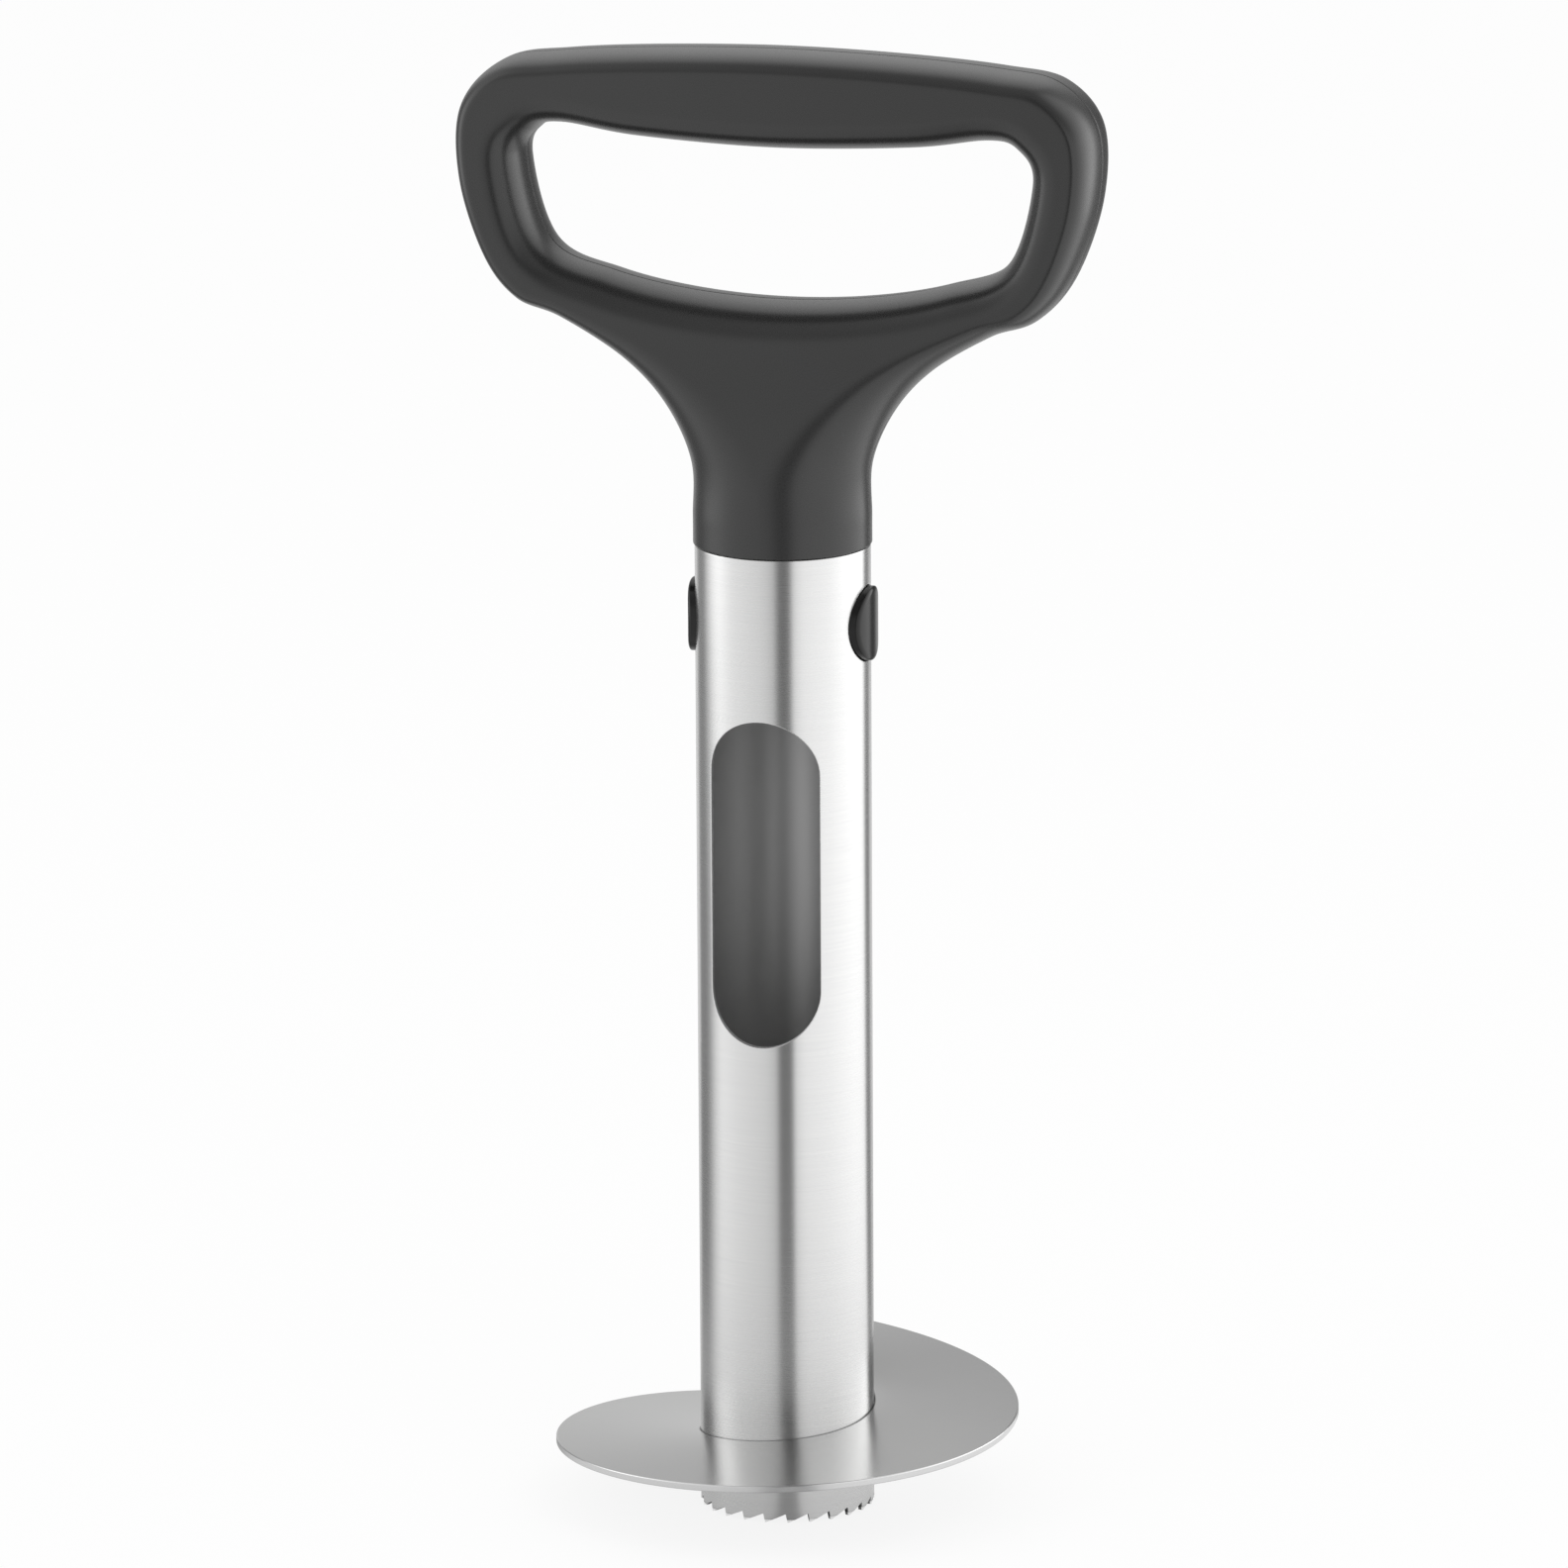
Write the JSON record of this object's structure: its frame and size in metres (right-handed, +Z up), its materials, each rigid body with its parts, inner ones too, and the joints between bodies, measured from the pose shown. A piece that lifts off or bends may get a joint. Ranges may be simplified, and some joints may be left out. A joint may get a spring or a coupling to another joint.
{
  "type": "pineapple corer and slicer",
  "caption": "Hand tool that cores and spiral-slices a pineapple: toothed tube, helical blade and a push-button release loop handle.",
  "frame": {"origin": "on the tube's axis, at the tips of the saw teeth", "axes": "+Z up along the tube towards the handle, X along the handle's loop and the two buttons, -Y the side with the window"},
  "size_m": [0.1194, 0.0854, 0.2714],
  "materials": {
    "brushed_tube_steel": "stainless steel brushed round the tube",
    "satin_blade_steel": "satin stainless steel with a polished rim",
    "soft_black_plastic": "matte soft-touch moulded plastic",
    "button_plastic": "satin moulded plastic",
    "inner_plastic": "plain moulded plastic",
    "seal_rubber": "smooth silicone rubber",
    "hardware_steel": "bright stainless steel",
    "spring_steel": "drawn spring wire"
  },
  "bodies": {
    "body": {"core_tube": "brushed_tube_steel", "slicing_blade": "satin_blade_steel", "handle_front_shell": "soft_black_plastic", "handle_rear_shell": "soft_black_plastic", "lock_housing": "inner_plastic", "lock_cover": "inner_plastic", "cover_screws": "hardware_steel", "tang_pins": "hardware_steel", "seal_ring": "seal_rubber", "spring_left": "spring_steel", "spring_right": "spring_steel"},
    "left_button": {"button_left": "button_plastic"},
    "right_button": {"button_right": "button_plastic"}
  },
  "joints": [
    {"name": "left_button_press", "type": "slide", "parent": "body", "child": "left_button", "axis": [1, 0, 0], "range_m": [0, 0.0032], "stiffness_N_per_m": 1200, "springref_m": -0.0015, "deforming": ["spring_left"]},
    {"name": "right_button_press", "type": "slide", "parent": "body", "child": "right_button", "axis": [-1, 0, 0], "range_m": [0, 0.0032], "stiffness_N_per_m": 1200, "springref_m": -0.0015, "deforming": ["spring_right"]}
  ]
}
